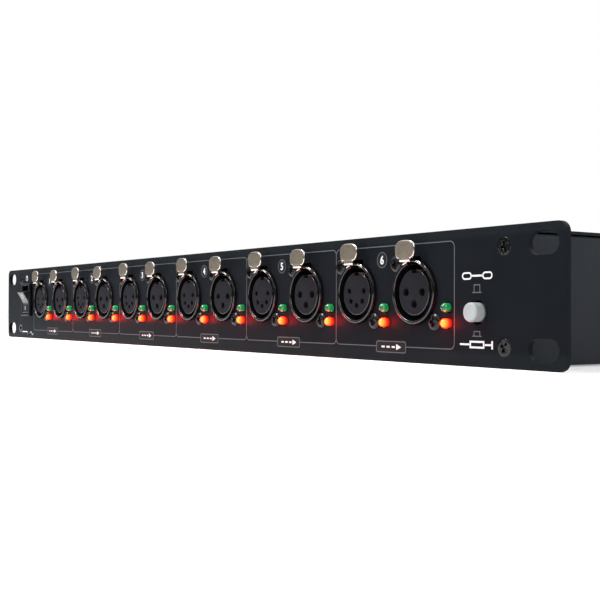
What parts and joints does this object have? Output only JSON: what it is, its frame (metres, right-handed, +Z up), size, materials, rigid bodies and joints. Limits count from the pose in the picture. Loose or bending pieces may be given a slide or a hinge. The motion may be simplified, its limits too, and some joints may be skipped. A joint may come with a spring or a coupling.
{
  "type": "dmx splitter",
  "caption": "Rack-mount lighting data splitter with locking output sockets, lamps, a mains rocker and a terminate button on its front panel.",
  "frame": {"origin": "middle of the footprint in X and Y, at the height of the front panel's bottom edge", "axes": "+X to the right seen from the front, +Y from the front panel to the rear wall, +Z up"},
  "size_m": [0.4826, 0.1626, 0.044],
  "materials": {
    "panel_paint": "fine matt powder coat, blue-black",
    "case_paint": "fine matt powder coat, black",
    "socket_plastic": "satin black moulding with a glossy lip",
    "nickel": "satin nickel plate",
    "insert_plastic": "dark grey moulding, satin",
    "black_plastic": "black moulding, satin",
    "rocker_plastic": "black moulding, semi-gloss",
    "button_plastic": "pale grey moulding, satin",
    "board": "green solder resist on glass laminate",
    "laminations": "varnished steel laminations",
    "winding": "enamelled copper wire under tape",
    "black_screw": "black zinc, slightly glossy",
    "fuse_glass": "clear tube with nickel caps"
  },
  "bodies": {
    "case": {"front_panel": "panel_paint", "chassis_tray": "case_paint", "top_cover": "case_paint", "switch_housing": "black_plastic", "button_switch": "black_plastic", "mains_inlet": "black_plastic", "front_board": "board", "main_board": "board", "transformer_core": "laminations", "transformer_winding": "winding", "input_plug_3pin": "socket_plastic", "input_plug_5pin": "socket_plastic", "link_socket_3pin": "socket_plastic", "link_socket_5pin": "socket_plastic", "panel_screw_1": "black_screw", "panel_screw_2": "black_screw", "panel_screw_3": "black_screw", "panel_screw_4": "black_screw", "output_socket_5pin_1": "socket_plastic", "contact_insert_5pin_1": "insert_plastic", "output_socket_3pin_1": "socket_plastic", "contact_insert_3pin_1": "insert_plastic", "output_socket_5pin_2": "socket_plastic", "contact_insert_5pin_2": "insert_plastic", "output_socket_3pin_2": "socket_plastic", "contact_insert_3pin_2": "insert_plastic", "output_socket_5pin_3": "socket_plastic", "contact_insert_5pin_3": "insert_plastic", "output_socket_3pin_3": "socket_plastic", "contact_insert_3pin_3": "insert_plastic", "output_socket_5pin_4": "socket_plastic", "contact_insert_5pin_4": "insert_plastic", "output_socket_3pin_4": "socket_plastic", "contact_insert_3pin_4": "insert_plastic", "output_socket_5pin_5": "socket_plastic", "contact_insert_5pin_5": "insert_plastic", "output_socket_3pin_5": "socket_plastic", "contact_insert_3pin_5": "insert_plastic", "output_socket_5pin_6": "socket_plastic", "contact_insert_5pin_6": "insert_plastic", "output_socket_3pin_6": "socket_plastic", "contact_insert_3pin_6": "insert_plastic"},
    "latch_5pin_1": {"latch_5pin_1": "nickel"},
    "latch_3pin_1": {"latch_3pin_1": "nickel"},
    "latch_5pin_2": {"latch_5pin_2": "nickel"},
    "latch_3pin_2": {"latch_3pin_2": "nickel"},
    "latch_5pin_3": {"latch_5pin_3": "nickel"},
    "latch_3pin_3": {"latch_3pin_3": "nickel"},
    "latch_5pin_4": {"latch_5pin_4": "nickel"},
    "latch_3pin_4": {"latch_3pin_4": "nickel"},
    "latch_5pin_5": {"latch_5pin_5": "nickel"},
    "latch_3pin_5": {"latch_3pin_5": "nickel"},
    "latch_5pin_6": {"latch_5pin_6": "nickel"},
    "latch_3pin_6": {"latch_3pin_6": "nickel"},
    "link_latch_3pin": {"link_latch_3pin": "nickel"},
    "link_latch_5pin": {"link_latch_5pin": "nickel"},
    "rocker": {"power_rocker": "rocker_plastic"},
    "button": {"terminate_button": "button_plastic"},
    "drawer": {"fuse_drawer": "black_plastic", "fuse": "fuse_glass"}
  },
  "joints": [
    {"name": "latch_5pin_1_press", "type": "hinge", "parent": "case", "child": "latch_5pin_1", "pos_m": [-0.1794, -0.0667, 0.0345], "axis": [-1, 0, 0], "range_deg": [0, 7], "stiffness_Nm_per_rad": 0.1, "springref_deg": -17.19},
    {"name": "latch_3pin_1_press", "type": "hinge", "parent": "case", "child": "latch_3pin_1", "pos_m": [-0.1474, -0.0667, 0.0345], "axis": [-1, 0, 0], "range_deg": [0, 7], "stiffness_Nm_per_rad": 0.1, "springref_deg": -17.19},
    {"name": "latch_5pin_2_press", "type": "hinge", "parent": "case", "child": "latch_5pin_2", "pos_m": [-0.1149, -0.0667, 0.0345], "axis": [-1, 0, 0], "range_deg": [0, 7], "stiffness_Nm_per_rad": 0.1, "springref_deg": -17.19},
    {"name": "latch_3pin_2_press", "type": "hinge", "parent": "case", "child": "latch_3pin_2", "pos_m": [-0.0829, -0.0667, 0.0345], "axis": [-1, 0, 0], "range_deg": [0, 7], "stiffness_Nm_per_rad": 0.1, "springref_deg": -17.19},
    {"name": "latch_5pin_3_press", "type": "hinge", "parent": "case", "child": "latch_5pin_3", "pos_m": [-0.0504, -0.0667, 0.0345], "axis": [-1, 0, 0], "range_deg": [0, 7], "stiffness_Nm_per_rad": 0.1, "springref_deg": -17.19},
    {"name": "latch_3pin_3_press", "type": "hinge", "parent": "case", "child": "latch_3pin_3", "pos_m": [-0.0184, -0.0667, 0.0345], "axis": [-1, 0, 0], "range_deg": [0, 7], "stiffness_Nm_per_rad": 0.1, "springref_deg": -17.19},
    {"name": "latch_5pin_4_press", "type": "hinge", "parent": "case", "child": "latch_5pin_4", "pos_m": [0.0141, -0.0667, 0.0345], "axis": [-1, 0, 0], "range_deg": [0, 7], "stiffness_Nm_per_rad": 0.1, "springref_deg": -17.19},
    {"name": "latch_3pin_4_press", "type": "hinge", "parent": "case", "child": "latch_3pin_4", "pos_m": [0.0461, -0.0667, 0.0345], "axis": [-1, 0, 0], "range_deg": [0, 7], "stiffness_Nm_per_rad": 0.1, "springref_deg": -17.19},
    {"name": "latch_5pin_5_press", "type": "hinge", "parent": "case", "child": "latch_5pin_5", "pos_m": [0.0786, -0.0667, 0.0345], "axis": [-1, 0, 0], "range_deg": [0, 7], "stiffness_Nm_per_rad": 0.1, "springref_deg": -17.19},
    {"name": "latch_3pin_5_press", "type": "hinge", "parent": "case", "child": "latch_3pin_5", "pos_m": [0.1106, -0.0667, 0.0345], "axis": [-1, 0, 0], "range_deg": [0, 7], "stiffness_Nm_per_rad": 0.1, "springref_deg": -17.19},
    {"name": "latch_5pin_6_press", "type": "hinge", "parent": "case", "child": "latch_5pin_6", "pos_m": [0.1431, -0.0667, 0.0345], "axis": [-1, 0, 0], "range_deg": [0, 7], "stiffness_Nm_per_rad": 0.1, "springref_deg": -17.19},
    {"name": "latch_3pin_6_press", "type": "hinge", "parent": "case", "child": "latch_3pin_6", "pos_m": [0.1751, -0.0667, 0.0345], "axis": [-1, 0, 0], "range_deg": [0, 7], "stiffness_Nm_per_rad": 0.1, "springref_deg": -17.19},
    {"name": "link_latch_3pin_press", "type": "hinge", "parent": "case", "child": "link_latch_3pin", "pos_m": [0.104, 0.0673, 0.0325], "axis": [1, 0, 0], "range_deg": [0, 7], "stiffness_Nm_per_rad": 0.1, "springref_deg": -17.19},
    {"name": "link_latch_5pin_press", "type": "hinge", "parent": "case", "child": "link_latch_5pin", "pos_m": [0.071, 0.0673, 0.0325], "axis": [1, 0, 0], "range_deg": [0, 7], "stiffness_Nm_per_rad": 0.1, "springref_deg": -17.19},
    {"name": "rocker_tilt", "type": "hinge", "parent": "case", "child": "rocker", "pos_m": [-0.203, -0.0723, 0.0245], "axis": [-1, 0, 0], "range_deg": [0, 30]},
    {"name": "button_push", "type": "slide", "parent": "case", "child": "button", "axis": [0, 1, 0], "range_m": [0, 0.0025], "stiffness_N_per_m": 400, "springref_m": -0.003},
    {"name": "drawer_pull", "type": "slide", "parent": "case", "child": "drawer", "axis": [0, 1, 0], "range_m": [0, 0.014]}
  ]
}
